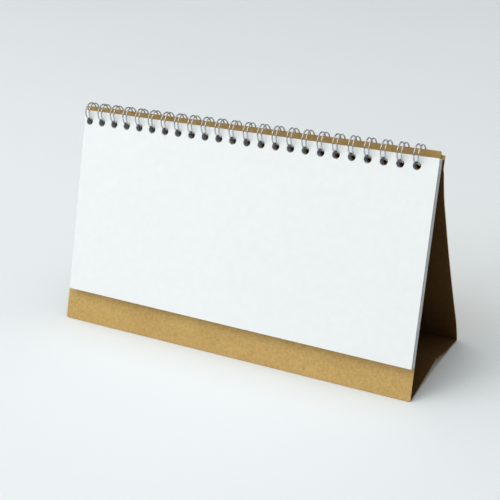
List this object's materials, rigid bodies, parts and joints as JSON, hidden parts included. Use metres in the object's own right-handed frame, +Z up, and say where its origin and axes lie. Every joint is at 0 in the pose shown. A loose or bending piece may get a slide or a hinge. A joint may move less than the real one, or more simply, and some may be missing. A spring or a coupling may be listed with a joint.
{
  "type": "flip desk calendar",
  "caption": "Free-standing flip desk calendar: a folded board tent stand with a pad of blank leaves hung on a twin-loop wire binding along its top edge.",
  "frame": {"origin": "centre of the stand's footprint, on the surface it stands on", "axes": "+X along the wire binding, from its left end to its right as the leaves are read; -Y the way the leaves face; +Z up"},
  "size_m": [0.212, 0.0663, 0.1184],
  "materials": {
    "kraft_board": "matte",
    "white_paper": "matte",
    "wire": "polished"
  },
  "bodies": {
    "stand": {"front_panel": "kraft_board", "wire_binding": "wire"},
    "base_front": {"base_front_panel": "kraft_board"},
    "base_rear": {"base_rear_panel": "kraft_board"},
    "back": {"back_panel": "kraft_board"},
    "leaf_01_body": {"leaf_01": "white_paper"},
    "leaf_02_body": {"leaf_02": "white_paper"},
    "leaf_03_body": {"leaf_03": "white_paper"},
    "leaf_04_body": {"leaf_04": "white_paper"},
    "leaf_05_body": {"leaf_05": "white_paper"},
    "leaf_06_body": {"leaf_06": "white_paper"},
    "leaf_07_body": {"leaf_07": "white_paper"},
    "leaf_08_body": {"leaf_08": "white_paper"},
    "leaf_09_body": {"leaf_09": "white_paper"},
    "leaf_10_body": {"leaf_10": "white_paper"},
    "leaf_11_body": {"leaf_11": "white_paper"},
    "leaf_12_body": {"leaf_12": "white_paper"},
    "leaf_13_body": {"leaf_13": "white_paper"}
  },
  "joints": [
    {"name": "base_front_fold", "type": "hinge", "parent": "stand", "child": "base_front", "pos_m": [0, -0.03231, 0.00035], "axis": [1, 0, 0], "range_deg": [0, 20]},
    {"name": "base_crease_fold", "type": "hinge", "parent": "base_front", "child": "base_rear", "pos_m": [0, 0.00144, 0.0054], "axis": [1, 0, 0], "range_deg": [-44, 0]},
    {"name": "back_panel_fold", "type": "hinge", "parent": "stand", "child": "back", "pos_m": [0, 0.00534, 0.11337], "axis": [1, 0, 0], "range_deg": [-3, 0]},
    {"name": "leaf_13_turn", "type": "hinge", "parent": "stand", "child": "leaf_13_body", "pos_m": [0, 0.00534, 0.11337], "axis": [-1, 0, 0], "range_deg": [0, 3.5]},
    {"name": "leaf_12_turn", "type": "hinge", "parent": "leaf_13_body", "child": "leaf_12_body", "pos_m": [0, 0.00534, 0.11337], "axis": [-1, 0, 0], "range_deg": [0, 3.5]},
    {"name": "leaf_11_turn", "type": "hinge", "parent": "leaf_12_body", "child": "leaf_11_body", "pos_m": [0, 0.00534, 0.11337], "axis": [-1, 0, 0], "range_deg": [0, 3.5]},
    {"name": "leaf_10_turn", "type": "hinge", "parent": "leaf_11_body", "child": "leaf_10_body", "pos_m": [0, 0.00534, 0.11337], "axis": [-1, 0, 0], "range_deg": [0, 3.5]},
    {"name": "leaf_09_turn", "type": "hinge", "parent": "leaf_10_body", "child": "leaf_09_body", "pos_m": [0, 0.00534, 0.11337], "axis": [-1, 0, 0], "range_deg": [0, 3.5]},
    {"name": "leaf_08_turn", "type": "hinge", "parent": "leaf_09_body", "child": "leaf_08_body", "pos_m": [0, 0.00534, 0.11337], "axis": [-1, 0, 0], "range_deg": [0, 3.5]},
    {"name": "leaf_07_turn", "type": "hinge", "parent": "leaf_08_body", "child": "leaf_07_body", "pos_m": [0, 0.00534, 0.11337], "axis": [-1, 0, 0], "range_deg": [0, 3.5]},
    {"name": "leaf_06_turn", "type": "hinge", "parent": "leaf_07_body", "child": "leaf_06_body", "pos_m": [0, 0.00534, 0.11337], "axis": [-1, 0, 0], "range_deg": [0, 3.5]},
    {"name": "leaf_05_turn", "type": "hinge", "parent": "leaf_06_body", "child": "leaf_05_body", "pos_m": [0, 0.00534, 0.11337], "axis": [-1, 0, 0], "range_deg": [0, 3.5]},
    {"name": "leaf_04_turn", "type": "hinge", "parent": "leaf_05_body", "child": "leaf_04_body", "pos_m": [0, 0.00534, 0.11337], "axis": [-1, 0, 0], "range_deg": [0, 3.5]},
    {"name": "leaf_03_turn", "type": "hinge", "parent": "leaf_04_body", "child": "leaf_03_body", "pos_m": [0, 0.00534, 0.11337], "axis": [-1, 0, 0], "range_deg": [0, 3.5]},
    {"name": "leaf_02_turn", "type": "hinge", "parent": "leaf_03_body", "child": "leaf_02_body", "pos_m": [0, 0.00534, 0.11337], "axis": [-1, 0, 0], "range_deg": [0, 3.5]},
    {"name": "leaf_01_turn", "type": "hinge", "parent": "leaf_02_body", "child": "leaf_01_body", "pos_m": [0, 0.00534, 0.11337], "axis": [-1, 0, 0], "range_deg": [0, 146]}
  ],
  "couplings": [
    {"joint": "base_crease_fold", "follows": "base_front_fold", "ratio": -2.1},
    {"joint": "back_panel_fold", "follows": "base_front_fold", "ratio": -0.14}
  ]
}
